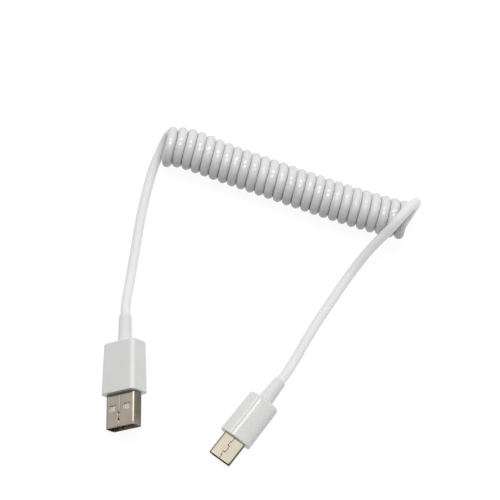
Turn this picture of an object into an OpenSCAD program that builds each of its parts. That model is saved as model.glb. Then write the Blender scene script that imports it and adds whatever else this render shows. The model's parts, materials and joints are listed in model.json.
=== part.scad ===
// Curly charging cable: a USB-A plug, a close-wound coil of cord and a USB-C plug.
// Frame: +Z up from the surface that the cable lies on, +X along the coil towards its USB-C end.
// Each plug is drawn in its own frame: +Y out of the mouth, +Z out of the face with the seam,
// and the origin at the middle of the moulded body's front face.

/* [Cord] */
// Outer diameter of the cord
cord_d = 3.35; // [3:0.05:3.4]

/* [Coil] */
// Outer diameter of the coil
coil_d = 13.8; // [12:0.1:15]
// Number of full turns in the coil
coil_turns = 25.5; // [20:0.5:26]
// Distance from one turn to the next
coil_pitch = 3.37; // [3:0.01:3.4]

/* [USB-A plug] */
// Width of the metal shell
a_shell_w = 12; // [12:0.01:12.1]
// Thickness of the metal shell
a_shell_t = 4.5; // [4.5:0.01:4.55]
// Length of the metal shell in front of the body
a_shell_out = 11.75; // [11.75:0.05:12.5]
// Width of the body at its front
a_body_w = 14.6; // [14.2:0.1:16]
// Thickness of the body at its front
a_body_t = 8.6; // [8.2:0.1:9]
// Length of the body
a_body_l = 18.2; // [18.2:0.1:22]
// Length of the strain relief behind the body
a_relief_l = 9.7; // [6:0.1:12]

/* [USB-C plug] */
// Width of the metal shell
c_shell_w = 8.34; // [8.25:0.01:8.4]
// Thickness of the metal shell
c_shell_t = 2.56; // [2.5:0.01:2.6]
// Length of the metal shell in front of the body
c_shell_out = 8.6; // [8.6:0.05:9.5]
// Width of the body at its front
c_body_w = 11.9; // [11.8:0.1:12.35]
// Thickness of the body
c_body_t = 6.3; // [6.1:0.1:6.5]
// Length of the body
c_body_l = 16.8; // [16.8:0.1:20]
// Length of the strain relief behind the body
c_relief_l = 8.5; // [6:0.1:12]

/* [Hidden] */

$fn = 48;
eps = 0.01;
fit = 0.02;              // clearance between parts that slide together
cord_r = cord_d / 2;
cord_sides = 8;
back_wall = 1.5;         // thickness of a plug body's back wall
flange = 1;              // thickness of a strain relief's flange, in front of that wall
ring_l = 1.55;           // length of a crimp ring

// Where each plug lies: the end of its strain relief, which way its mouth points, and its roll.
a_exit = [-27.6, 19.4, 7.25];
a_heading = -71.4;
a_roll = 37;
c_exit = [29.1, 15.2, c_body_t / 2];
c_heading = -108.5;

// The coil's axis, parallel to X.
coil_x = -34.5;
coil_y = 82.6;
coil_r = coil_d / 2;
coil_solid_from = 2.2;   // the coil's solid starts this far past the first turn's back
coil_solid_to = 2.2;     // and stops this far short of the last turn's front

// Route of the cord from the USB-A plug to the back of the coil's first turn.
route_a = [
    [-27.6, 19.4, 7.25], [-28.5, 22.2, 7.1], [-29.4, 25.7, 6.1], [-30.3, 30.1, 4.3], [-31.3, 35.1, 2.7],
    [-32.4, 40.6, 1.9], [-33.5, 46.6, 1.7], [-34.6, 52.6, 1.7], [-35.6, 58.6, 1.7], [-36.3, 64.1, 1.7],
    [-36.9, 70.1, 1.7], [-37.2, 75.1, 1.7], [-37.2, 79.1, 1.7], [-36.9, 82.3, 2], [-36.5, 85.1, 3.1],
    [-35.8, 87.2, 4.9], [-34.8, 88.2, 7.1], [-34.2, 87.6, 9.6]
];

// Route of the cord from the front of the last turn, under and back over the coil, to the USB-C plug.
route_c = [
    [51.2, 77.4, 6.9], [51.1, 78.3, 3.9], [51, 81.4, 1.9], [52, 85.5, 2.2], [53, 88.5, 4.5],
    [53.8, 89, 7.5], [53.8, 88.5, 11], [53, 86, 14], [52, 83, 15.5], [50.5, 79.5, 15.3],
    [49, 76.5, 13.6], [47, 73.5, 11], [45, 70.5, 8.7], [43, 67, 6.3], [41.2, 63.1, 4.1],
    [39.6, 58.9, 2.5], [38.2, 54.5, 1.8], [36.4, 47.6, 1.7], [34.5, 40.1, 1.7], [32.9, 32.6, 1.7],
    [31.6, 25.6, 1.9], [30.7, 21.1, 2.5], [29.9, 17.7, 3], [29.1, 15.2, 3.15]
];

// ---- shapes used more than once ----

function unit(v) = v / norm(v);
function along(p, i) = unit(p[min(i + 1, len(p) - 1)] - p[max(i - 1, 0)]);
// A direction square to the route at point i, carried along from the route's start without twist.
function across(p, i) =
    let (t = along(p, i), n = i == 0 ? cross(t, [0, 0, 1]) : across(p, i - 1))
    unit(n - (n * t) * t);

// A tube of radius r swept along the points p.
module swept_tube(p, r, sides) {
    last = len(p) - 1;
    points = [
        for (i = [0:last])
            let (n = across(p, i), b = cross(along(p, i), n))
            for (k = [0:sides - 1]) p[i] + r * (cos(360 * k / sides) * n + sin(360 * k / sides) * b)
    ];
    walls = [
        for (i = [0:last - 1], k = [0:sides - 1])
            let (a = i * sides + k, b = i * sides + (k + 1) % sides)
            each [[a, b, a + sides], [b, b + sides, a + sides]]
    ];
    near_cap = [for (k = [sides - 1:-1:0]) k];
    far_cap = [for (k = [0:sides - 1]) last * sides + k];
    polyhedron(points, concat(walls, [near_cap, far_cap]), convexity = 6);
}

// A w by t rectangle about the origin with corners of radius r.
module rounded_rect(w, t, r) {
    square([w - 2 * r, t], center = true);
    square([w, t - 2 * r], center = true);
    for (x = [-1, 1], y = [-1, 1]) translate([x * (w / 2 - r), y * (t / 2 - r)]) circle(r);
}

// A slot with round ends, w by t, about the origin.
module stadium(w, t) {
    square([w - t, t], center = true);
    for (x = [-1, 1]) translate([x * (w - t) / 2, 0]) circle(d = t);
}

// Stretches a flat outline along Y, from y0 to y1. The outline's Y becomes Z.
module along_y(y0, y1) {
    translate([0, y1, 0]) rotate([90, 0, 0]) linear_extrude(y1 - y0) children();
}

// A box between two corners.
module block(low, high) {
    translate(low) cube(high - low);
}

// A rod of radius r along Y, from y0 to y1.
module rod(r, y0, y1) {
    translate([0, y0, 0]) rotate([-90, 0, 0]) cylinder(h = y1 - y0, r = r);
}

// A ring around Y.
module ring(inner, outer, y0, y1) {
    difference() {
        rod(outer, y0, y1);
        rod(inner, y0 - eps, y1 + eps);
    }
}

// A moulded body that narrows towards its back: w by t at the front, less the two tapers at the back.
module tapered_body(w, t, l, r, taper_w, taper_t) {
    intersection() {
        along_y(-l, 0) rounded_rect(w, t, r);
        translate([0, 0, -t]) linear_extrude(2 * t)
            polygon([[-w / 2, 0], [w / 2, 0], [(w - taper_w) / 2, -l], [-(w - taper_w) / 2, -l]]);
        rotate([90, 0, 90]) translate([0, 0, -w]) linear_extrude(2 * w)
            polygon([[0, -t / 2], [0, t / 2], [-l, (t - taper_t) / 2], [-l, -(t - taper_t) / 2]]);
    }
}

// A strain relief: a sleeve that tapers from base to tip, with a neck and a flange inside the body.
module strain_relief(body_l, long, base_r, tip_r, neck_r, flange_r) {
    back = body_l + long;
    wall = body_l - back_wall;
    bore = cord_r + fit;
    rotate([90, 0, 0]) rotate_extrude()
        polygon([
            [bore, wall - flange], [flange_r, wall - flange], [flange_r, wall], [neck_r, wall],
            [neck_r, body_l], [base_r, body_l], [tip_r, back - 0.4], [tip_r - 0.15, back], [bore, back]
        ]);
}

// ---- the cord ----

module cord_lead_a() { color("white") swept_tube(route_a, cord_r, cord_sides); }
module cord_lead_c() { color("white") swept_tube(route_c, cord_r, cord_sides); }
module cord_coil() {
    from = coil_x + coil_solid_from;
    to = coil_x + coil_turns * coil_pitch - coil_solid_to;
    color("white") translate([from, coil_y, coil_r]) rotate([0, 90, 0])
        cylinder(h = to - from, r = coil_r, $fn = 64);
}

// ---- the USB-A plug ----

a_wall = 0.3;
a_shell_back = 7.5;      // how far the shell reaches into the body
a_corner = 0.5;
a_mouth = a_shell_out;
a_inner_w = a_shell_w - 2 * a_wall;
a_inner_t = a_shell_t - 2 * a_wall;
a_cavity_w = 11.5;       // the body's cavity behind the shell
a_cavity_t = 5;
a_cavity_end = a_body_l - back_wall;
a_mould_back = 0.1 + flange - a_cavity_end;
a_neck_r = 2.1;
a_tongue_t = 1.9;
a_tongue_tip = a_mouth - 1;
a_block_front = a_mouth - 9.6;
a_pin_w = 1;
a_pin_t = 0.25;
a_pin_z = a_inner_t / 2 - a_tongue_t;      // the tongue's face
a_pin_low = a_pin_z - 0.05;                // the contacts stand a little proud of it
a_power_x = 3.5;
a_data_x = 1;
a_tail_end = -10.4;
a_jacket_front = a_mould_back + 2.2;
a_mould_front = a_mould_back + 3.35;
wire_r = 0.4;
wire_sides = 12;

// Places the USB-A plug's own frame on the surface.
module in_plug_a() {
    translate(a_exit) rotate([0, 0, a_heading - 90]) rotate([0, a_roll, 0])
        translate([0, a_body_l + a_relief_l, 0]) children();
}

module usb_a_body() {
    color("white") in_plug_a() difference() {
        tapered_body(a_body_w, a_body_t, a_body_l, 1.5, 0.8, 1);
        along_y(-a_shell_back, eps) rounded_rect(a_shell_w + 2 * fit, a_shell_t + 2 * fit, a_corner + fit);
        along_y(-a_cavity_end, -a_shell_back + eps) square([a_cavity_w, a_cavity_t], center = true);
        rod(a_neck_r + fit, -a_body_l - eps, -a_cavity_end + eps);
    }
}

module usb_a_strain_relief() {
    color("white") in_plug_a() strain_relief(a_body_l, a_relief_l, 2.4, 2.08, a_neck_r, 2.4);
}

// The slit where the shell's two folded edges meet, with one dovetail step.
module a_seam() {
    slit = 0.12;
    step = 0.9;
    tab = [a_mouth - 4.1, a_mouth - 2];
    top = a_shell_t / 2;
    low = top - a_wall - eps;
    high = top + eps;
    block([-slit / 2, -a_shell_back - eps, low], [slit / 2, tab[0], high]);
    block([-slit / 2, tab[1], low], [slit / 2, a_mouth + eps, high]);
    block([slit / 2, tab[0] - slit, low], [step, tab[0], high]);
    block([slit / 2, tab[1], low], [step, tab[1] + slit, high]);
    block([step - slit, tab[0] - slit, low], [step, tab[1] + slit, high]);
}

module usb_a_shell() {
    window = [2.5, 2];
    window_x = 3.05;
    window_y = a_mouth - 6.7;
    color("silver") in_plug_a() difference() {
        along_y(-a_shell_back, a_mouth) rounded_rect(a_shell_w, a_shell_t, a_corner);
        along_y(-a_shell_back - eps, a_mouth + eps) rounded_rect(a_inner_w, a_inner_t, a_corner - a_wall);
        for (x = [-window_x, window_x])
            translate([x, window_y, 0]) cube([window.x, window.y, a_shell_t + 1], center = true);
        a_seam();
    }
}

// The four contact channels, or with no clearance the contacts themselves.
module a_pins(xs, tip, gap) {
    half = a_pin_w / 2 + gap;
    for (x = xs)
        block([x - half, a_tail_end, a_pin_low - gap], [x + half, tip, a_pin_low + a_pin_t + gap]);
}

a_power_tip = a_tongue_tip - 0.4;
a_data_tip = a_tongue_tip - 1.4;

module usb_a_insulator() {
    side = a_inner_w / 2 - fit;
    top = a_inner_t / 2 - fit;
    color("whitesmoke") in_plug_a() difference() {
        intersection() {
            along_y(-a_shell_back + 0.1, a_tongue_tip) rounded_rect(2 * side, 2 * top, a_corner - a_wall);
            union() {
                block([-side, -a_shell_back, -top], [side, a_block_front, top]);
                block([-side, -a_shell_back, a_pin_z], [side, a_mouth, top + 1]);
            }
        }
        a_pins([-a_power_x, a_power_x], a_power_tip + fit, fit);
        a_pins([-a_data_x, a_data_x], a_data_tip + fit, fit);
    }
}

module usb_a_power_contacts() {
    color("gold") in_plug_a() a_pins([-a_power_x, a_power_x], a_power_tip, 0);
}

module usb_a_data_contacts() {
    color("gold") in_plug_a() a_pins([-a_data_x, a_data_x], a_data_tip, 0);
}

a_solder_back = a_tail_end + 0.2;
a_wire_z = a_pin_z + a_pin_t + 0.4;

module usb_a_solder_joints() {
    bottom = a_pin_low + a_pin_t;
    color("lightgray") in_plug_a() for (x = [-a_power_x, -a_data_x, a_data_x, a_power_x])
        block([x - 0.45, a_solder_back, bottom], [x + 0.45, a_solder_back + 1.6, bottom + 0.7]);
}

module usb_a_rear_shield() {
    outer_w = a_cavity_w - 2 * fit;
    outer_t = a_cavity_t - 2 * fit;
    thick = 0.2;
    color("silver") in_plug_a() difference() {
        along_y(a_mould_front + 0.05, -a_shell_back - 0.05) square([outer_w, outer_t], center = true);
        along_y(a_mould_front, -a_shell_back) square([outer_w - 2 * thick, outer_t - 2 * thick], center = true);
    }
}

// The block of hot melt that grips the cord's end inside a plug.
module inner_mould(w, t, back, front, jacket_front) {
    difference() {
        along_y(back, front) square([w, t], center = true);
        rod(cord_r + fit, back - eps, jacket_front);
        rod(cord_r + 0.3, back - eps, back + ring_l + 0.05);
        rod(cord_r - 0.1, jacket_front - eps, front + eps);
    }
}

module usb_a_inner_mould() {
    color("ivory") in_plug_a()
        inner_mould(a_cavity_w - 2 * fit, a_cavity_t - 2 * fit, a_mould_back, a_mould_front, a_jacket_front);
}

module usb_a_crimp_ring() {
    color("silver") in_plug_a() ring(cord_r + fit / 2, cord_r + 0.27, a_mould_back, a_mould_back + ring_l);
}

module usb_a_jacket_end() {
    color("white") in_plug_a() rod(cord_r, -a_body_l - a_relief_l, a_jacket_front);
}

// A conductor of the USB-A plug, from the jacket's end to the solder joint at x.
module a_wire(core_x, core_z, x) {
    in_plug_a() swept_tube([
        [core_x, a_jacket_front, core_z], [core_x, a_jacket_front + 1.2, core_z],
        [x, a_solder_back - 0.7, a_wire_z], [x, a_solder_back, a_wire_z]
    ], wire_r, wire_sides);
}

module usb_a_red_wire() { color("red") a_wire(-0.7, 0.6, -a_power_x); }
module usb_a_white_wire() { color("white") a_wire(-0.5, -0.6, -a_data_x); }
module usb_a_green_wire() { color("green") a_wire(0.5, -0.6, a_data_x); }
module usb_a_black_wire() { color("dimgray") a_wire(0.7, 0.6, a_power_x); }

// ---- the USB-C plug ----

c_wall = 0.2;
c_shell_back = 4.4;
c_mouth = c_shell_out;
c_cavity_w = 9.6;
c_cavity_t = 4.2;
c_cavity_front = -3.4;
c_cavity_end = c_body_l - back_wall;
c_mould_back = 0.1 + flange - c_cavity_end;
c_mould_front = c_mould_back + 1.9;
c_neck_r = 2.3;
c_flange_r = 2.05;
c_port_w = 6.9;          // the opening that takes the socket's tongue
c_port_t = 0.9;
c_port_end = c_mouth - 7.4;
c_board_t = 0.8;
c_board_w = 8.2;
c_pin_pitch = 0.5;
c_pin_w = 0.26;
c_pin_t = 0.15;
c_jacket_front = c_mould_back + 1.05;
c_tail_end = -5.6;
c_shield_back = c_mould_front + 0.05;
c_board_y = [c_shield_back + 0.9, -4.5];
c_upper_pins = [1, 4, 5, 6, 7, 9, 12];
c_lower_pins = [1, 4, 9, 12];

// Places the USB-C plug's own frame, flat on the surface.
module in_plug_c() {
    translate(c_exit) rotate([0, 0, c_heading - 90]) translate([0, c_body_l + c_relief_l, 0]) children();
}

module usb_c_body() {
    color("white") in_plug_c() difference() {
        tapered_body(c_body_w, c_body_t, c_body_l, 2.4, 0.5, 0);
        along_y(c_cavity_front - eps, eps) stadium(c_shell_w + 2 * fit, c_shell_t + 2 * fit);
        along_y(-c_cavity_end, c_cavity_front) square([c_cavity_w, c_cavity_t], center = true);
        rod(c_neck_r + fit, -c_body_l - eps, -c_cavity_end + eps);
    }
}

module usb_c_strain_relief() {
    color("white") in_plug_c() strain_relief(c_body_l, c_relief_l, 2.6, 2.15, c_neck_r, c_flange_r);
}

// The shell's seam: a slit along the middle with two square steps.
module c_seam() {
    slit = 0.14;
    reach = 0.45;
    top = c_shell_t / 2;
    low = top - c_wall - eps;
    high = top + eps;
    steps = [c_mouth - 7.4, c_mouth - 5.8, c_mouth - 4.6, c_mouth - 3, c_mouth - 1.8];
    for (i = [0:3]) {
        side = i % 2 == 0 ? reach : -reach;
        block([side - slit / 2, steps[i], low], [side + slit / 2, steps[i + 1] + slit, high]);
    }
    for (i = [1:3])
        block([-reach - slit / 2, steps[i], low], [reach + slit / 2, steps[i] + slit, high]);
    block([-slit / 2, steps[4], low], [slit / 2, c_mouth + eps, high]);
    block([-reach - slit / 2, steps[4], low], [slit / 2, steps[4] + slit, high]);
}

module usb_c_shell() {
    color("wheat") in_plug_c() difference() {
        along_y(-c_shell_back, c_mouth) stadium(c_shell_w, c_shell_t);
        along_y(-c_shell_back - eps, c_mouth + eps) stadium(c_shell_w - 2 * c_wall, c_shell_t - 2 * c_wall);
        c_seam();
    }
}

function c_pin_x(n) = (n - 6.5) * c_pin_pitch;

c_pin_z = c_port_t / 2 - 0.1;      // the contacts' faces stand this far from the middle

// One row of contacts, or their channels with a gap all round.
module c_pins(row, side, gap) {
    for (n = row) {
        x = c_pin_x(n);
        z = side * (c_pin_z + c_pin_t / 2);
        translate([x, (c_tail_end + c_mouth - 1.6) / 2, z])
            cube([c_pin_w + 2 * gap, c_mouth - 1.6 - c_tail_end + 2 * gap, c_pin_t + 2 * gap], center = true);
    }
}

// The two ground springs, or their pockets with a gap all round.
module c_springs(gap) {
    outer = c_shell_t / 2 - c_wall - fit;
    for (side = [-1, 1])
        translate([0, c_mouth - 1.9, side * (outer - 0.06)])
            cube([5.6 + 2 * gap, 1.8 + 2 * gap, 0.12 + (gap > 0 ? 2 * gap : 0)], center = true);
}

module usb_c_insulator() {
    color("dimgray") in_plug_c() difference() {
        along_y(-c_shell_back + 0.1, c_mouth - 0.4)
            stadium(c_shell_w - 2 * c_wall - 2 * fit, c_shell_t - 2 * c_wall - 2 * fit);
        along_y(c_port_end, c_mouth) square([c_port_w, c_port_t], center = true);
        block([-3.1 - fit, -c_shell_back, -0.1], [3.1 + fit, c_port_end + eps, 0.1]);
        c_pins(c_upper_pins, 1, fit);
        c_pins(c_lower_pins, -1, fit);
        c_springs(fit);
    }
}

module usb_c_upper_contacts() { color("gold") in_plug_c() c_pins(c_upper_pins, 1, 0); }
module usb_c_lower_contacts() { color("gold") in_plug_c() c_pins(c_lower_pins, -1, 0); }

module usb_c_latch_plate() {
    color("silver") in_plug_c() {
        block([-3.1, -c_shell_back + 0.1, -0.08], [3.1, c_port_end + 0.6, 0.08]);
        for (x = [-1, 1])
            block([x * 3.2 - 0.12, c_port_end + 0.1, -0.08], [x * 3.2 + 0.12, c_mouth - 1.4, 0.08]);
    }
}

module usb_c_ground_springs() { color("silver") in_plug_c() c_springs(0); }

module usb_c_circuit_board() {
    edge = c_pin_z - fit;
    color("seagreen") in_plug_c()
        block([-c_board_w / 2, c_board_y[0], -edge], [c_board_w / 2, c_board_y[1], edge]);
}

module usb_c_resistor() {
    color("black") in_plug_c() block([1.2, -8.6, c_pin_z - fit], [2.2, -8.1, c_pin_z + 0.33]);
}

c_wire_x = 1.35;
c_wire_z = 0.75;
c_solder_y = c_board_y[0] + 0.8;

// The four blobs of solder on the board's back edge, two on each face.
module usb_c_solder_joints() {
    low = c_pin_z - fit;
    color("lightgray") in_plug_c() for (x = [-c_wire_x, c_wire_x], side = [-1, 1])
        translate([x, c_solder_y + 0.5, side * (low + 0.35)]) cube([0.9, 1, 0.7], center = true);
}

// Half of the can round the board. The front wall fits round the shell.
module c_shield_half(side) {
    outer_w = c_cavity_w - 2 * fit;
    outer_t = c_cavity_t - 2 * fit;
    thick = 0.2;
    split = 0.02;
    intersection() {
        difference() {
            along_y(c_shield_back, c_cavity_front - fit) square([outer_w, outer_t], center = true);
            along_y(c_shield_back - eps, c_cavity_front - fit - thick)
                square([outer_w - 2 * thick, outer_t - 2 * thick], center = true);
            along_y(c_shield_back, 0) stadium(c_shell_w + 2 * fit, c_shell_t + 2 * fit);
        }
        translate([0, -10, side * (outer_t / 2 + split)]) cube([12, 20, outer_t], center = true);
    }
}

module usb_c_shield_top() { color("silver") in_plug_c() c_shield_half(1); }
module usb_c_shield_bottom() { color("silver") in_plug_c() c_shield_half(-1); }

module usb_c_inner_mould() {
    color("ivory") in_plug_c()
        inner_mould(c_cavity_w - 2 * fit, c_cavity_t - 2 * fit, c_mould_back, c_mould_front, c_jacket_front);
}

module usb_c_crimp_ring() {
    color("silver") in_plug_c() ring(cord_r + fit / 2, cord_r + 0.27, c_mould_back, c_mould_back + 1);
}

module usb_c_jacket_end() {
    color("white") in_plug_c() rod(cord_r, -c_body_l - c_relief_l, c_jacket_front);
}

// A conductor of the USB-C plug, from the jacket's end to its solder joint on the board.
module c_wire(x, side) {
    in_plug_c() swept_tube([
        [x * 0.5, c_jacket_front, side * 0.5], [x * 0.5, c_jacket_front + 1, side * 0.5],
        [x * c_wire_x, c_solder_y - 0.5, side * c_wire_z], [x * c_wire_x, c_solder_y, side * c_wire_z]
    ], wire_r, wire_sides);
}

module usb_c_red_wire() { color("red") c_wire(-1, 1); }
module usb_c_white_wire() { color("white") c_wire(-1, -1); }
module usb_c_green_wire() { color("green") c_wire(1, -1); }
module usb_c_black_wire() { color("dimgray") c_wire(1, 1); }

// ---- what is drawn ----

cord_lead_a();
cord_coil();
cord_lead_c();
usb_a_body();
usb_a_strain_relief();
usb_a_shell();
usb_a_insulator();
usb_a_power_contacts();
usb_a_data_contacts();
usb_a_solder_joints();
usb_a_rear_shield();
usb_a_inner_mould();
usb_a_crimp_ring();
usb_a_jacket_end();
usb_a_red_wire();
usb_a_white_wire();
usb_a_green_wire();
usb_a_black_wire();
usb_c_body();
usb_c_strain_relief();
usb_c_shell();
usb_c_insulator();
usb_c_upper_contacts();
usb_c_lower_contacts();
usb_c_latch_plate();
usb_c_ground_springs();
usb_c_circuit_board();
usb_c_resistor();
usb_c_solder_joints();
usb_c_shield_top();
usb_c_shield_bottom();
usb_c_inner_mould();
usb_c_crimp_ring();
usb_c_jacket_end();
usb_c_red_wire();
usb_c_white_wire();
usb_c_green_wire();
usb_c_black_wire();
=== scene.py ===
"""A white curly charging cable, USB-A to USB-C, drawn around its CAD frame.

Lengths in this file are in millimetres unless a comment says metres, and MM turns them into metres.
Each plug has its own frame: +Y out of the mouth, +Z out of the face with the seam, and the origin at the
middle of the moulded body's front face.
"""

import json
import math

import bmesh
import bpy
from mathutils import Matrix, Vector


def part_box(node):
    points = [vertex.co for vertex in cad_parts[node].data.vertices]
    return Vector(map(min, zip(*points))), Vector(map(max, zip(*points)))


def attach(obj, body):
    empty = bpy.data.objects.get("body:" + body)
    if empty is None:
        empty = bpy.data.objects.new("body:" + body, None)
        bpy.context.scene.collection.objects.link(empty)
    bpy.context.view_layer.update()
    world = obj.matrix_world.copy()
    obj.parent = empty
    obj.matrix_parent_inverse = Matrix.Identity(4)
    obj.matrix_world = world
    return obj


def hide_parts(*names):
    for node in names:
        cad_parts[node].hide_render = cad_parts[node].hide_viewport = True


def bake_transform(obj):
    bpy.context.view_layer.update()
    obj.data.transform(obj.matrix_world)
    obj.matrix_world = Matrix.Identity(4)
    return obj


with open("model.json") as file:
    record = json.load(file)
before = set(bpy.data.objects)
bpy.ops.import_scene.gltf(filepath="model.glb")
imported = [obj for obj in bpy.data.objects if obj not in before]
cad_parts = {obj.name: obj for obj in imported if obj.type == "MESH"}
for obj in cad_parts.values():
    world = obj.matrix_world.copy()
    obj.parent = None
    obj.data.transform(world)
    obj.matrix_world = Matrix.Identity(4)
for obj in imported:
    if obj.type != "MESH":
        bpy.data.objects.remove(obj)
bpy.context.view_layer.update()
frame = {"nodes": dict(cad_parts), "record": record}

MM = 0.001
SIDE_A = "usb_a_side"
SIDE_C = "usb_c_side"

# ---- the cord's sizes ----

CORD_D = 3.35
COIL_TURNS = 25.5
COIL_END = 2.2  # the CAD coil stops this far short of the first and the last turn
CORD_SIDES = 28
RINGS_A_TURN = 48
LEAD_STEP = 0.6  # between a lead's rings
SPLINE_STEPS = 12  # between two points of a route
JOIN_TURNS = (0, 0.06, 0.12)  # a lead's curve is drawn on through these turns of the coil, to meet it
TANGENT_TURNS = 0.005  # on each side of a turn, for the coil's direction there

# Route of the cord from the USB-A plug to the back of the coil's first turn.
ROUTE_A = [
    (-27.6, 19.4, 7.25), (-28.5, 22.2, 7.1), (-29.4, 25.7, 6.1), (-30.3, 30.1, 4.3), (-31.3, 35.1, 2.7),
    (-32.4, 40.6, 1.9), (-33.5, 46.6, 1.7), (-34.6, 52.6, 1.7), (-35.6, 58.6, 1.7), (-36.3, 64.1, 1.7),
    (-36.9, 70.1, 1.7), (-37.2, 75.1, 1.7), (-37.2, 79.1, 1.7), (-36.9, 82.3, 2), (-36.5, 85.1, 3.1),
    (-35.8, 87.2, 4.9),
]

# Route of the cord from the coil's last turn, under and back over the coil, to the USB-C plug.
ROUTE_C = [
    (51.1, 78.3, 3.9), (51, 81.4, 1.9), (52, 85.5, 2.2), (53, 88.5, 4.5), (53.8, 89, 7.5),
    (53.8, 88.5, 11), (53, 86, 14), (52, 83, 15.5), (50.5, 79.5, 15.3), (49, 76.5, 13.6),
    (47, 73.5, 11), (45, 70.5, 8.7), (43, 67, 6.3), (41.2, 63.1, 4.1), (39.6, 58.9, 2.5),
    (38.2, 54.5, 1.8), (36.4, 47.6, 1.7), (34.5, 40.1, 1.7), (32.9, 32.6, 1.7), (31.6, 25.6, 1.9),
    (30.7, 21.1, 2.5), (29.9, 17.7, 3), (29.1, 15.2, 3.15),
]

# How far the coil's axis bows from a straight line towards +Y, at even steps along the coil.
COIL_BOW = [-0.45, 1, 1, 0.7, 0.3, 0.1, -0.05, -0.2, -0.4, -0.6, -0.75, -0.9, -1, -1, -0.9, -0.7, -0.4]
COIL_LEAN = 0.8  # the top of each turn leans this far towards +X, and its bottom as far the other way
COIL_FLARE = [0.4, 0.3, 0.1, 0, 0, 0, 0, 0, 0]  # how much wider the turns are, at the same steps


# ---- small helpers ----

def lerp(a, b, t):
    return a + (b - a) * t


def catmull_rom(a, b, c, d, t):
    """The value at t, from b to c, of the smooth curve through the four."""
    return 0.5 * (2 * b + (c - a) * t + (2 * a - 5 * b + 4 * c - d) * t * t
                  + (3 * b - a - 3 * c + d) * t ** 3)


def spline(points):
    """A smooth curve through the points."""
    p = [Vector(q) for q in points]
    p = [2 * p[0] - p[1]] + p + [2 * p[-1] - p[-2]]
    out = []
    for i in range(1, len(p) - 2):
        out += [catmull_rom(*p[i - 1:i + 3], k / SPLINE_STEPS) for k in range(SPLINE_STEPS)]
    out.append(p[-2])
    return out


def length_of(path):
    return sum((b - a).length for a, b in zip(path, path[1:]))


def even_steps(path, step):
    """The same curve with its points an even step apart."""
    total = length_of(path)
    count = max(2, round(total / step))
    out, run, i = [path[0].copy()], 0.0, 0
    for k in range(1, count):
        want = total * k / count
        while run + (path[i + 1] - path[i]).length < want:
            run += (path[i + 1] - path[i]).length
            i += 1
        seg = (path[i + 1] - path[i]).length
        out.append(path[i].lerp(path[i + 1], (want - run) / seg))
    out.append(path[-1].copy())
    return out


def curve_value(values, s):
    """A smooth value at s, from 0 to 1, through values at even steps."""
    x = s * (len(values) - 1)
    i = min(int(x), len(values) - 2)
    near = [values[max(0, min(len(values) - 1, k))] for k in range(i - 1, i + 3)]
    return catmull_rom(*near, x - i)


def new_object(name, verts, faces, material, smooth=True):
    mesh = bpy.data.meshes.new(name)
    mesh.from_pydata([tuple(v) for v in verts], [], faces)
    mesh.validate()
    mesh.update()
    obj = bpy.data.objects.new(name, mesh)
    bpy.context.scene.collection.objects.link(obj)
    mesh.materials.append(material)
    if smooth:
        mesh.polygons.foreach_set("use_smooth", [True] * len(mesh.polygons))
    return obj


# ---- materials ----

IOR = 1.5
NOISE_ROUGHNESS = 0.55
TONE_FROM, TONE_TO = 0.3, 0.7  # the noise values between which a colour drifts


def material(name, color, roughness, metallic=0.0, coat=0.0, coat_roughness=0.1, specular=0.5):
    """A principled material, its node tree, and its shader."""
    mat = bpy.data.materials.new(name)
    mat.use_nodes = True
    tree = mat.node_tree
    shader = tree.nodes["Principled BSDF"]
    shader.inputs["Base Color"].default_value = (*color, 1)
    shader.inputs["Roughness"].default_value = roughness
    shader.inputs["Metallic"].default_value = metallic
    shader.inputs["Coat Weight"].default_value = coat
    shader.inputs["Coat Roughness"].default_value = coat_roughness
    shader.inputs["Specular IOR Level"].default_value = specular
    shader.inputs["IOR"].default_value = IOR
    return mat, tree, shader


def noise(tree, scale, detail):
    """Noise over the object's own coordinates, with that many spots to a metre."""
    coords = tree.nodes.new("ShaderNodeTexCoord")
    tex = tree.nodes.new("ShaderNodeTexNoise")
    tex.inputs["Scale"].default_value = scale
    tex.inputs["Detail"].default_value = detail
    tex.inputs["Roughness"].default_value = NOISE_ROUGHNESS
    tree.links.new(coords.outputs["Object"], tex.inputs["Vector"])
    return tex.outputs["Fac"]


def mottle(tree, shader, color, darkest, scale, detail):
    """Lets the colour drift over the surface, down to that share of itself."""
    node = tree.nodes.new("ShaderNodeValToRGB")
    low, high = node.color_ramp.elements
    low.position, low.color = TONE_FROM, (*(c * darkest for c in color), 1)
    high.position, high.color = TONE_TO, (*color, 1)
    tree.links.new(noise(tree, scale, detail), node.inputs["Fac"])
    tree.links.new(node.outputs["Color"], shader.inputs["Base Color"])


def vary_roughness(tree, shader, source, low, high):
    """Lets the roughness follow a value from 0 to 1, from low to high."""
    node = tree.nodes.new("ShaderNodeMapRange")
    node.inputs["To Min"].default_value = low
    node.inputs["To Max"].default_value = high
    tree.links.new(source, node.inputs["Value"])
    tree.links.new(node.outputs["Result"], shader.inputs["Roughness"])


def bump(tree, shader, source, depth, strength):
    """Raises the surface by up to that depth."""
    node = tree.nodes.new("ShaderNodeBump")
    node.inputs["Strength"].default_value = strength
    node.inputs["Distance"].default_value = depth * MM
    tree.links.new(source, node.inputs["Height"])
    tree.links.new(node.outputs["Normal"], shader.inputs["Normal"])


def white_plastic(name, color, roughness, coat, coat_roughness, grain_scale, grain_depth):
    """Smooth white polymer: a faint change of tone, a fine moulded grain, and its gloss in a clear coat."""
    mat, tree, shader = material(name, color, roughness, coat=coat, coat_roughness=coat_roughness,
                                 specular=0.0)
    mottle(tree, shader, color, darkest=0.965, scale=160, detail=3)
    vary_roughness(tree, shader, noise(tree, scale=420, detail=3), low=roughness * 0.85,
                   high=roughness * 1.2)
    bump(tree, shader, noise(tree, grain_scale, detail=2), grain_depth, strength=0.6)
    return mat


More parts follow.
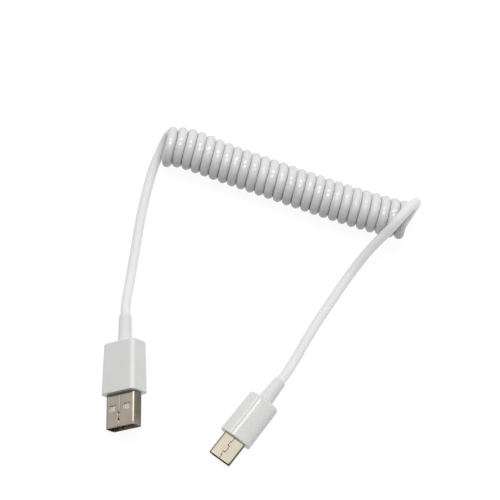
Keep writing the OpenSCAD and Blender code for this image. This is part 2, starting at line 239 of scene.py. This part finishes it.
def drawn_metal(name, color, roughness):
    """Plated sheet: a fine grain from the drawing, and a tone that drifts a little."""
    mat, tree, shader = material(name, color, roughness, metallic=1.0)
    mottle(tree, shader, color, darkest=0.88, scale=260, detail=4)
    grain = noise(tree, scale=1500, detail=3)
    vary_roughness(tree, shader, grain, low=roughness * 0.8, high=roughness * 1.25)
    bump(tree, shader, grain, depth=0.0012, strength=0.5)
    return mat


def matt_plastic(name, color, roughness):
    """Plain plastic with a fine matt grain."""
    mat, tree, shader = material(name, color, roughness)
    mottle(tree, shader, color, darkest=0.88, scale=500, detail=3)
    bump(tree, shader, noise(tree, scale=2200, detail=2), depth=0.01, strength=0.5)
    return mat


# Each colour is linear, and the number after it is the roughness.
MATERIALS = {
    "cord_jacket": white_plastic("jacket", (0.67, 0.67, 0.675), 0.38, coat=1.0, coat_roughness=0.02,
                                 grain_scale=900, grain_depth=0.0015),
    "plug_moulding": white_plastic("moulding", (0.63, 0.63, 0.62), 0.36, coat=1.0, coat_roughness=0.03,
                                   grain_scale=700, grain_depth=0.0004),
    "strain_relief": white_plastic("relief", (0.68, 0.665, 0.655), 0.42, coat=0.5, coat_roughness=0.15,
                                   grain_scale=900, grain_depth=0.004),
    "nickel_shell": drawn_metal("nickel", (0.49, 0.435, 0.355), 0.15),
    "champagne_shell": drawn_metal("champagne", (0.84, 0.765, 0.61), 0.18),
    "light_insulator": matt_plastic("pale_insulator", (0.62, 0.55, 0.53), 0.45),
    "black_insulator": matt_plastic("black_insulator", (0.010, 0.010, 0.011), 0.4),
    "gold_contacts": drawn_metal("gold", (0.86, 0.62, 0.22), 0.2),
    "spring_steel": drawn_metal("spring_steel", (0.60, 0.60, 0.59), 0.25),
    "tinned_steel": drawn_metal("tinned_steel", (0.66, 0.66, 0.65), 0.35),
    "solder": drawn_metal("solder", (0.72, 0.72, 0.72), 0.22),
    "inner_mould": matt_plastic("hot_melt", (0.74, 0.68, 0.55), 0.35),
    "circuit_board": matt_plastic("solder_mask", (0.02, 0.20, 0.08), 0.3),
    "resistor": matt_plastic("resistor", (0.015, 0.015, 0.015), 0.5),
    "red_insulation": matt_plastic("red_wire", (0.55, 0.02, 0.02), 0.4),
    "white_insulation": matt_plastic("white_wire", (0.75, 0.75, 0.74), 0.4),
    "green_insulation": matt_plastic("green_wire", (0.02, 0.32, 0.08), 0.4),
    "black_insulation": matt_plastic("black_wire", (0.015, 0.015, 0.015), 0.4),
}


# ---- the camera ----

CAMERA_AZIMUTH, CAMERA_ELEVATION = math.radians(-18.53), math.radians(70)
CAMERA_DISTANCE = 900
CAMERA_TARGET = (4.11, 57.71, 0)
CAMERA_LENS = 187.9


def add_camera():
    level = math.cos(CAMERA_ELEVATION)
    forward = Vector((math.sin(CAMERA_AZIMUTH) * level, math.cos(CAMERA_AZIMUTH) * level,
                      -math.sin(CAMERA_ELEVATION)))
    data = bpy.data.cameras.new("camera")
    data.sensor_width = 36
    data.lens = CAMERA_LENS
    data.clip_start, data.clip_end = 0.05, 10  # metres
    cam = bpy.data.objects.new("camera", data)
    bpy.context.scene.collection.objects.link(cam)
    cam.location = (Vector(CAMERA_TARGET) - forward * CAMERA_DISTANCE) * MM
    cam.rotation_euler = forward.to_track_quat("-Z", "Y").to_euler()
    bpy.context.scene.camera = cam


add_camera()


# ---- the cord ----

coil_low, coil_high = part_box("cord_coil")
coil_from = coil_low.x / MM - COIL_END
coil_pitch = (coil_high.x / MM + COIL_END - coil_from) / COIL_TURNS
coil_y = (coil_low.y + coil_high.y) / 2 / MM
coil_z = (coil_low.z + coil_high.z) / 2 / MM
coil_mean_r = (coil_high.z - coil_low.z) / 2 / MM - CORD_D / 2


def helix(turn):
    """The point of the coil's centreline after that many turns. Turn 0 is at the back."""
    a = 2 * math.pi * turn
    along = min(1, max(0, turn / COIL_TURNS))
    flare = curve_value(COIL_FLARE, along)
    r = coil_mean_r + flare
    return Vector((coil_from + coil_pitch * turn + COIL_LEAN * math.sin(a),
                   coil_y + curve_value(COIL_BOW, along) + r * math.cos(a),
                   coil_z + flare + r * math.sin(a)))


def helix_tangent(turn):
    return (helix(turn + TANGENT_TURNS) - helix(turn - TANGENT_TURNS)).normalized()


def tube(name, path, first_tangent=None, last_tangent=None):
    """The round cord along the path. Given end tangents make two tubes meet without a crease."""
    radius, sides, last = CORD_D / 2, CORD_SIDES, len(path) - 1
    verts, faces = [], []
    normal = None
    for i, p in enumerate(path):
        tangent = (path[min(i + 1, last)] - path[max(i - 1, 0)]).normalized()
        if i == 0 and first_tangent is not None:
            tangent = first_tangent
        if i == last and last_tangent is not None:
            tangent = last_tangent
        if normal is None:
            normal = tangent.cross(Vector((0, 0, 1)) if abs(tangent.z) < 0.9 else Vector((1, 0, 0)))
        normal = (normal - tangent * normal.dot(tangent)).normalized()
        side = tangent.cross(normal)
        for k in range(sides):
            a = 2 * math.pi * k / sides
            verts.append((p + radius * (math.cos(a) * normal + math.sin(a) * side)) * MM)
    for i in range(last):
        for k in range(sides):
            a, b = i * sides + k, i * sides + (k + 1) % sides
            faces.append((a, b, b + sides, a + sides))
    return new_object(name, verts, faces, MATERIALS["cord_jacket"])


def add_cord():
    start_tangent, end_tangent = helix_tangent(0), helix_tangent(COIL_TURNS)
    drawn_on = (len(JOIN_TURNS) - 1) * SPLINE_STEPS

    lead_in = ROUTE_A + [helix(t) for t in JOIN_TURNS]
    path_a = even_steps(spline(lead_in)[:-drawn_on], LEAD_STEP)
    lead_a = tube("left_lead", path_a, last_tangent=start_tangent)
    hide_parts("cord_lead_a")
    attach(lead_a, SIDE_A)

    steps = round(COIL_TURNS * RINGS_A_TURN)
    path_coil = [helix(COIL_TURNS * k / steps) for k in range(steps + 1)]
    coil = tube("coil_turns", path_coil, start_tangent, end_tangent)
    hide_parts("cord_coil")
    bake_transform(coil)

    lead_out = [helix(COIL_TURNS - t) for t in reversed(JOIN_TURNS)] + ROUTE_C
    path_c = even_steps(spline(lead_out)[drawn_on:], LEAD_STEP)
    lead_c = tube("right_lead", path_c, first_tangent=end_tangent)
    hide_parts("cord_lead_c")
    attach(lead_c, SIDE_C)


add_cord()


# ---- the plugs ----

CREASE_ANGLE = math.radians(50)  # edges sharper than this stay sharp
RELIEF_SIDES = 48
PER_CORNER = 8  # steps round a corner of a moulded section
SHELL_PER_CORNER = 12  # and of a metal shell's section
MOUTH_DEPTH, HOLE_DEPTH = 2.5, 0.8  # how far a body's skin turns in, at the mouth and at the cord
STATION_STEP = 1.5  # the widest gap between two rows of a shell's points


def plug_frame(plug, shoulder):
    """The plug's own frame, from its two mounts, and how far its mouth is along it."""
    mounts = {m["name"]: m for m in frame["record"]["mounts"]}
    mouth, face = Vector(mounts[plug]["pos_m"]), Vector(mounts[shoulder]["pos_m"])
    y = Vector(mounts[plug]["axis"]).normalized()
    reach = (mouth - face).dot(y)
    origin = mouth - y * reach
    z = (face - origin).normalized()
    x = y.cross(z)
    turn = Matrix((x, y, z)).transposed().to_4x4()
    return Matrix.Translation(origin) @ turn @ Matrix.Scale(MM, 4), reach / MM


def quarter_arc(cx, cz, r, start, count):
    """Points of a quarter circle round (cx, cz), from the angle start in degrees."""
    angles = [math.radians(start + 90 * k / count) for k in range(count + 1)]
    return [(cx + r * math.cos(a), cz + r * math.sin(a)) for a in angles]


def rounded_outline(w, t, r, per_long=6, per_short=4):
    """Points round a w by t rectangle with corners of radius r, in the X-Z plane, from the +X side."""
    r = min(r, w / 2 - 1e-4, t / 2 - 1e-4)
    out = []
    corners = [(w / 2 - r, t / 2 - r, 0), (-w / 2 + r, t / 2 - r, 90), (-w / 2 + r, -t / 2 + r, 180),
               (w / 2 - r, -t / 2 + r, 270)]
    for i, (cx, cz, start) in enumerate(corners):
        out += quarter_arc(cx, cz, r, start, PER_CORNER)
        nx, nz, turned = corners[(i + 1) % 4]
        here, there = out[-1], quarter_arc(nx, nz, r, turned, 1)[0]
        count = per_long if i % 2 == 0 else per_short
        out += [(lerp(here[0], there[0], k / count), lerp(here[1], there[1], k / count))
                for k in range(1, count)]
    return out


def loft(name, rings, place, material_name):
    """A skin over rings of points, all with the same count. Each ring is (y, [(x, z), ...])."""
    count = len(rings[0][1])
    verts = [place @ Vector((x, y, z)) for y, ring in rings for x, z in ring]
    faces = []
    for i in range(len(rings) - 1):
        for k in range(count):
            a, b = i * count + k, i * count + (k + 1) % count
            faces.append((a, b, b + count, a + count))
    obj = new_object(name, verts, faces, MATERIALS[material_name])
    outward(obj)
    return obj


def outward(obj):
    """Turns the faces outward."""
    bm = bmesh.new()
    bm.from_mesh(obj.data)
    bmesh.ops.recalc_face_normals(bm, faces=bm.faces)
    bm.to_mesh(obj.data)
    bm.free()


def crisp(obj):
    """Smooth shading with flat faces kept flat."""
    obj.data.set_sharp_from_angle(angle=CREASE_ANGLE)
    mod = obj.modifiers.new("weighted", "WEIGHTED_NORMAL")
    mod.keep_sharp = True
    mod.weight = 80


def halfway(ring, other):
    return [tuple(lerp(a, b, 0.5) for a, b in zip(p, q)) for p, q in zip(ring, other)]


def circle_like(ring, radius):
    """A circle whose points stand at the same angles as the ring's."""
    return [(radius * math.cos(math.atan2(z, x)), radius * math.sin(math.atan2(z, x))) for x, z in ring]


def quarter_turn(count):
    """Angles from 0 to a right angle, in that many steps."""
    return [math.radians(lerp(0, 90, k / count)) for k in range(count + 1)]


def oval_outline(w, t, power, like):
    """A superellipse w by t whose points stand at the same angles as those of the outline given."""
    out = []
    for x, z in like:
        a = math.atan2(z / t, x / w)
        c, s = math.cos(a), math.sin(a)
        r = (abs(c) ** power + abs(s) ** power) ** (-1 / power)
        out.append((w / 2 * r * c, t / 2 * r * s))
    return out


def moulded_body(name, place, size, back, corner, front_edge, back_edge, mouth, hole_r, power=None,
                 per_face=8):
    """A plug's moulded body, as one skin from its mouth, round the outside, to the cord's hole.

    size and back are (width, thickness) at the front and at the back, mouth is the shell's outline. The
    section is a rectangle with rounded corners, or a superellipse of the power given."""
    (w0, t0), (w1, t1, length) = size, back
    mouth_w, mouth_t, mouth_r = mouth
    gap, lead_in = 0.06, 0.14  # round the shell, and how much wider the mouth's edge is

    def section(y, inset):
        s = -y / length
        w, t = lerp(w0, w1, s) - 2 * inset, lerp(t0, t1, s) - 2 * inset
        outline = rounded_outline(w, t, corner - inset * 0.6, per_face)
        return outline if power is None else oval_outline(w, t, power, outline)

    def mouth_ring(grow):
        return rounded_outline(mouth_w + 2 * grow, mouth_t + 2 * grow, mouth_r + grow, per_face)

    rim = mouth_ring(gap + lead_in)
    rings = [(-MOUTH_DEPTH, mouth_ring(gap)), (-0.25, mouth_ring(gap)), (-0.08, mouth_ring(gap + 0.03)),
             (0.0, rim), (0.0, halfway(rim, section(0, front_edge)))]
    for a in quarter_turn(6):
        inset = front_edge * (1 - math.sin(a))
        y = -front_edge * (1 - math.cos(a))
        rings.append((y, section(y, inset)))
    for k in range(1, 8):
        y = lerp(-front_edge, -length + back_edge, k / 8)
        rings.append((y, section(y, 0)))
    for a in quarter_turn(8):
        inset = back_edge * (1 - math.cos(a))
        y = -length + back_edge * (1 - math.sin(a))
        rings.append((y, section(y, inset)))
    last = rings[-1][1]
    hole = circle_like(last, hole_r)
    rings += [(-length, halfway(last, hole)), (-length, hole), (-length + HOLE_DEPTH, hole)]
    obj = loft(name, rings, place, "plug_moulding")
    crisp(obj)
    return obj


def strain_relief(name, place, body_l, reach, base_r, tip_r):
    """The tapered sleeve round the cord, behind a plug's body. profile holds (behind the body, radius)."""
    collar, tip, bore_r = 0.35, 0.35, CORD_D / 2 + 0.02
    profile = [(-0.9, base_r), (-0.05, base_r), (0.0, base_r + 0.1), (0.12, base_r + 0.04),
               (collar, base_r)]
    for k in range(1, 9):
        s = k / 8
        profile.append((lerp(collar, reach - tip, s), lerp(base_r, tip_r, s ** 0.9)))
    for a in quarter_turn(5)[1:]:
        profile.append((reach - tip + tip * math.sin(a), tip_r - tip * (1 - math.cos(a))))
    profile += [(reach, bore_r), (reach - HOLE_DEPTH, bore_r)]
    turn = [2 * math.pi * k / RELIEF_SIDES for k in range(RELIEF_SIDES)]
    rings = [(-body_l - back, [(r * math.cos(a), r * math.sin(a)) for a in turn]) for back, r in profile]
    obj = loft(name, rings, place, "strain_relief")
    crisp(obj)
    return obj


def sheet_shell(name, place, outline, stations, cut, wall, material_name, edge):
    """A shell of sheet metal with edges rounded by edge. outline is the section's points, stations the
    places along Y, and cut says, for the middle of a cell, whether the cell is open."""
    count = len(outline)
    verts = [place @ Vector((x, y, z)) for y in stations for x, z in outline]
    faces = []
    for i in range(len(stations) - 1):
        y = (stations[i] + stations[i + 1]) / 2
        for k in range(count):
            x0, z0 = outline[k]
            x1, z1 = outline[(k + 1) % count]
            if cut((x0 + x1) / 2, y, (z0 + z1) / 2):
                continue
            a, b = i * count + k, i * count + (k + 1) % count
            faces.append((a, b, b + count, a + count))
    obj = new_object(name, verts, faces, MATERIALS[material_name])
    outward(obj)
    bm = bmesh.new()
    bm.from_mesh(obj.data)
    bmesh.ops.delete(bm, geom=[v for v in bm.verts if not v.link_faces], context="VERTS")
    bm.to_mesh(obj.data)
    bm.free()
    thick = obj.modifiers.new("thick", "SOLIDIFY")
    thick.thickness = wall * MM
    thick.offset = -1
    thick.use_even_offset = True
    bevel = obj.modifiers.new("bevel", "BEVEL")
    bevel.width = edge * MM
    bevel.segments = 3
    bevel.use_clamp_overlap = False
    bevel.limit_method = "ANGLE"
    bevel.angle_limit = CREASE_ANGLE
    crisp(obj)
    return obj


def face_outline(w, t, r, lines):
    """A rounded rectangle's points with extra points on its two wide faces at the given places along X."""
    flat = w / 2 - r
    xs = sorted({x for x in lines if abs(x) < flat - 1e-3} | {0.0})
    tall = t - 2 * r > 1e-3
    corners = ((flat, t / 2 - r, 0), (-flat, t / 2 - r, 90),
               (-flat, -t / 2 + r, 180), (flat, -t / 2 + r, 270))
    runs = ([(x, t / 2) for x in reversed(xs)], [(-w / 2, 0)] * tall, [(x, -t / 2) for x in xs],
            [(w / 2, 0)] * tall)
    out = []
    for (cx, cz, start), run in zip(corners, runs):
        out += quarter_arc(cx, cz, r, start, SHELL_PER_CORNER) + run
    return [p for i, p in enumerate(out) if math.dist(p, out[i - 1]) > 1e-4]


def stations_between(low, high, marks):
    """Places from low to high that hold every mark, with no wide gap."""
    fixed = sorted({low, high} | {m for m in marks if low < m < high})
    out = [fixed[0]]
    for a, b in zip(fixed, fixed[1:]):
        n = max(1, math.ceil((b - a) / STATION_STEP))
        out += [a + (b - a) * k / n for k in range(1, n + 1)]
    return out


def within(v, low, high):
    return low < v < high


# -- USB-A --

A_SHELL_W, A_SHELL_T, A_SHELL_R, A_SHELL_BACK = 12.0, 4.5, 0.65, -6.9
A_BODY_W, A_BODY_T, A_BODY_L, A_RELIEF_L = 14.6, 8.6, 18.2, 9.7


def add_usb_a():
    place, mouth_y = plug_frame("usb_a_plug", "usb_a_shoulder")
    body = moulded_body("usb_a_moulding", place, (A_BODY_W, A_BODY_T),
                        (A_BODY_W - 0.9, A_BODY_T - 0.9, A_BODY_L), corner=1.9, front_edge=0.3,
                        back_edge=0.8, mouth=(A_SHELL_W, A_SHELL_T, A_SHELL_R), hole_r=2.2)
    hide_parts("usb_a_body")

    relief = strain_relief("usb_a_sleeve", place, A_BODY_L, A_RELIEF_L, base_r=2.4, tip_r=2.12)
    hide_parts("usb_a_strain_relief")

    # The seam runs down the middle, with a jog to the side. slit and cross are its half widths.
    slit, cross, jog = 0.05, 0.012, 0.77
    jog_y = (mouth_y - 4.9, mouth_y - 2.4)
    window_w, window_l, window_x, window_y = 1.25, 1.0, 3.05, mouth_y - 6.7  # half sizes, and middle
    xs = [-slit, slit, jog - slit, jog + slit]
    xs += [s * (window_x + d) for s in (-1, 1) for d in (-window_w, window_w)]
    ys = [window_y - window_l, window_y + window_l]
    ys += [y + d for y in jog_y for d in (-cross, cross)]

    def cut(x, y, z):
        wide = abs(z) > A_SHELL_T / 2 - 1e-3
        if wide and abs(abs(x) - window_x) < window_w and abs(y - window_y) < window_l:
            return True
        if z < A_SHELL_T / 2 - 1e-3:
            return False
        straight = within(x, -slit, slit) and not within(y, jog_y[0] + cross, jog_y[1] - cross)
        moved = within(x, jog - slit, jog + slit) and within(y, jog_y[0] - cross, jog_y[1] + cross)
        across = within(x, -slit, jog + slit) and any(within(y, e - cross, e + cross) for e in jog_y)
        return straight or moved or across

    shell = sheet_shell("usb_a_metal_shell", place, face_outline(A_SHELL_W, A_SHELL_T, A_SHELL_R, xs),
                        stations_between(A_SHELL_BACK, mouth_y, ys), cut, wall=0.3,
                        material_name="nickel_shell", edge=0.13)
    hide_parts("usb_a_shell")

    for obj, slot in ((body, "plug_moulding"), (relief, "strain_relief"), (shell, "nickel_shell")):
        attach(obj, SIDE_A)


add_usb_a()


# -- USB-C --

C_SHELL_W, C_SHELL_T, C_SHELL_BACK = 8.34, 2.56, -4.3
C_BODY_W, C_BODY_T, C_BODY_L, C_RELIEF_L = 11.9, 6.3, 16.8, 8.5


def add_usb_c():
    place, mouth_y = plug_frame("usb_c_plug", "usb_c_shoulder")
    body = moulded_body("usb_c_moulding", place, (C_BODY_W, C_BODY_T),
                        (C_BODY_W - 0.5, C_BODY_T - 0.02, C_BODY_L), corner=2.7, front_edge=0.3,
                        back_edge=1.2, mouth=(C_SHELL_W, C_SHELL_T, C_SHELL_T / 2), hole_r=2.4,
                        power=2.5, per_face=20)
    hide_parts("usb_c_body")

    relief = strain_relief("usb_c_sleeve", place, C_BODY_L, C_RELIEF_L, base_r=2.6, tip_r=2.15)
    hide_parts("usb_c_strain_relief")

    # The seam steps from side to side. slit and step are its half widths, along and across.
    slit, step, reach = 0.085, 0.12, 0.34
    ends = [mouth_y - d for d in (6.7, 5.2, 2.75, 1.3)]
    xs = [-slit, slit] + [s * (reach + d) for s in (-1, 1) for d in (-slit, slit)]
    ys = [y + d for y in ends for d in (-step, step)]

    def cut(x, y, z):
        if z < C_SHELL_T / 2 - 1e-3 or abs(x) > reach + slit:
            return False
        if any(abs(y - e) < step for e in (ends[1], ends[2])):
            return True
        if any(abs(y - e) < step for e in (ends[0], ends[3])) and x > -slit:
            return True
        if not within(y, ends[0], ends[3]):
            return abs(x) < slit
        side = -reach if within(y, ends[1], ends[2]) else reach
        return abs(x - side) < slit

    shell = sheet_shell("usb_c_metal_shell", place,
                        face_outline(C_SHELL_W, C_SHELL_T, C_SHELL_T / 2 - 1e-4, xs),
                        stations_between(C_SHELL_BACK, mouth_y, ys), cut, wall=0.2,
                        material_name="champagne_shell", edge=0.03)
    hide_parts("usb_c_shell")

    # The insulator's front lip, and a thin skin behind it, under the seam.
    lip_w, lip_t, lip_wall, skin, skin_l = C_SHELL_W - 0.41, C_SHELL_T - 0.41, 0.5, 0.06, 7.5
    outer, thin, inner = (rounded_outline(lip_w - 2 * d, lip_t - 2 * d, lip_t / 2 - d)
                          for d in (0, skin, lip_wall))
    profile = [(skin_l, thin), (skin_l, outer), (0.1, outer), (0.06, inner), (0.45, inner), (0.45, thin),
               (skin_l - 0.01, thin)]
    lip = loft("usb_c_mouth_lip", [(mouth_y - depth, ring) for depth, ring in profile], place,
               "black_insulator")
    crisp(lip)

    for obj, slot in ((body, "plug_moulding"), (relief, "strain_relief"), (shell, "champagne_shell"),
                      (lip, "black_insulator")):
        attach(obj, SIDE_C)


add_usb_c()


# ---- the CAD parts that stay ----

CAD_EDGE = 0.02  # rounding of a CAD part's edges


def finish_cad_parts():
    slots = {s["node"]: s["material_slot"] for s in frame["record"]["subparts"]}
    for name, obj in frame["nodes"].items():
        obj.data.materials.clear()
        obj.data.materials.append(MATERIALS[slots[name]])
        if not obj.hide_render:
            bevel = obj.modifiers.new("bevel", "BEVEL")
            bevel.width = CAD_EDGE * MM
            bevel.segments = 2
            bevel.limit_method = "ANGLE"


finish_cad_parts()


# ---- floor and light, in metres ----

LIGHT_CENTRE = Vector((0.01, 0.05, 0))
LEVEL_RIGHT = Vector((math.cos(CAMERA_AZIMUTH), -math.sin(CAMERA_AZIMUTH), 0))
LEVEL_AWAY = Vector((math.sin(CAMERA_AZIMUTH), math.cos(CAMERA_AZIMUTH), 0))
FLOOR_REACH, FLOOR_DROP = 3, 0.00002
FAR = 1.2  # from the middle of the cable to most lights
PLUG_SPIN = 55.6  # turns a light along the USB-C plug


def area_light(name, right, up, distance, size, power, spin=0, glossy=True, diffuse=True):
    """A flat light aimed at the middle of the cable, tilted right and up from overhead by those degrees."""
    away = LEVEL_RIGHT * math.sin(math.radians(right)) + LEVEL_AWAY * math.sin(math.radians(up))
    away.z = math.sqrt(max(0.0, 1 - away.length_squared))
    data = bpy.data.lights.new(name, "AREA")
    data.shape = "RECTANGLE"
    data.size, data.size_y = size
    data.energy = power
    obj = bpy.data.objects.new(name, data)
    bpy.context.scene.collection.objects.link(obj)
    side = (LEVEL_RIGHT - away * LEVEL_RIGHT.dot(away)).normalized()
    turn = Matrix((side, away.cross(side), away)).transposed().to_4x4()
    obj.matrix_world = (Matrix.Translation(LIGHT_CENTRE + away * distance) @ turn
                        @ Matrix.Rotation(math.radians(spin), 4, "Z"))
    obj.visible_glossy = glossy
    obj.visible_diffuse = diffuse
    return obj


def light_only(light, pieces, state="INCLUDE"):
    """Lets the light fall on those pieces only, or with EXCLUDE on everything but those pieces."""
    group = bpy.data.collections.new(light.name + "_pieces")
    for name in pieces:
        group.objects.link(bpy.data.objects[name])
    for member in group.collection_objects:
        member.light_linking.link_state = state
    light.light_linking.receiver_collection = group


def add_floor():
    mat, _, shader = material("floor", (0.1, 0.1, 0.1), 0.9, specular=0.0)
    shader.inputs["Emission Color"].default_value = (1, 1, 1, 1)
    shader.inputs["Emission Strength"].default_value = 0.92
    corners = [(x * FLOOR_REACH, y * FLOOR_REACH, 0) for x, y in ((-1, -1), (1, -1), (1, 1), (-1, 1))]
    floor = new_object("floor", corners, [(0, 1, 2, 3)], mat, False)
    floor.location.z = -FLOOR_DROP
    # The floor's own glow doesn't show in the metal or the black plastic, nor under the coil.
    light_only(floor, ("coil_turns", "usb_a_metal_shell", "usb_c_metal_shell", "usb_c_mouth_lip"),
               "EXCLUDE")


def add_lights():
    area_light("soft_top", 0, 16, FAR, size=(0.75, 0.5), power=7.4, glossy=False)
    # Two tubes that show on each turn of the cord as a pair of dots.
    for name, up in (("dots_near", 1.5), ("dots_far", 28.7)):
        light_only(area_light(name, -2, up, FAR, size=(1.0, 0.15), power=8.5, diffuse=False),
                   ("coil_turns",))
    # Weak lights at floor level, facing up, for two pieces that the floor's glow is kept off.
    for name, power, piece in (("coil_bounce", 0.37, "coil_turns"),
                               ("shell_bounce", 0.12, "usb_a_metal_shell")):
        bounce = area_light(name, 0, 0, 0.0001, (0.5, 0.4), power)
        bounce.rotation_euler = (math.pi, 0, 0)
        bounce.visible_camera = False
        light_only(bounce, (piece,))
    # A fill from the front, so that the shells aren't black from behind.
    light_only(area_light("shell_fill", 0, -70, FAR, size=(1.2, 0.6), power=1.4),
               ("usb_a_metal_shell", "usb_c_metal_shell"))
    # A strip for the long ridges of the USB-A plug, and two thin ones for the USB-C plug's top.
    light_only(area_light("ridge_strip", 3, 21, FAR / 2, size=(0.8, 0.2), power=1.2, diffuse=False),
               ("usb_a_moulding", "usb_a_metal_shell"))
    for name, right, up, power in (("c_strip_left", -11.6, 23.6, 0.42), ("c_strip_right", -2.5, 17.4, 0.7)):
        light_only(area_light(name, right, up, FAR, (0.42, 0.09), power, PLUG_SPIN, diffuse=False),
                   ("usb_c_moulding",))
    # A soft light from the front for the two leads.
    light_only(area_light("soft_leads", 20, -40, FAR, size=(0.6, 0.6), power=2.6, glossy=False),
               ("left_lead", "right_lead"))


def add_sky():
    """A wide soft light overhead and behind, the same all along X, that is dim in front.

    steps holds (place from the front horizon to the back one, brightness, how much its blue is raised)."""
    world = bpy.data.worlds.new("studio")
    world.use_nodes = True
    tree = world.node_tree
    background = tree.nodes["Background"]
    coords = tree.nodes.new("ShaderNodeTexCoord")
    parts = tree.nodes.new("ShaderNodeSeparateXYZ")
    tree.links.new(coords.outputs["Generated"], parts.inputs["Vector"])
    angle = tree.nodes.new("ShaderNodeMath")
    angle.operation = "ARCTAN2"
    tree.links.new(parts.outputs["Y"], angle.inputs[0])
    tree.links.new(parts.outputs["Z"], angle.inputs[1])
    place = tree.nodes.new("ShaderNodeMapRange")
    place.inputs["From Min"].default_value = math.radians(-90)
    place.inputs["From Max"].default_value = math.radians(90)
    tree.links.new(angle.outputs["Value"], place.inputs["Value"])
    fade = tree.nodes.new("ShaderNodeValToRGB")
    steps = [(0.0, 0.03, 1.06), (0.25, 0.10, 1.06), (0.40, 0.78, 1.02), (0.55, 0.95, 1.0),
             (0.75, 0.82, 1.0), (1.0, 0.6, 1.0)]
    elements = fade.color_ramp.elements
    while len(elements) < len(steps):
        elements.new(0.5)
    for element, (position, level, blue) in zip(elements, steps):
        element.position = position
        element.color = (level, level, level * blue, 1)
    tree.links.new(place.outputs["Result"], fade.inputs["Fac"])
    tree.links.new(fade.outputs["Color"], background.inputs["Color"])
    background.inputs["Strength"].default_value = 1.0
    bpy.context.scene.world = world


add_floor()
add_sky()
add_lights()
bpy.context.scene.view_settings.view_transform = "Standard"
bpy.context.scene.view_settings.look = "None"
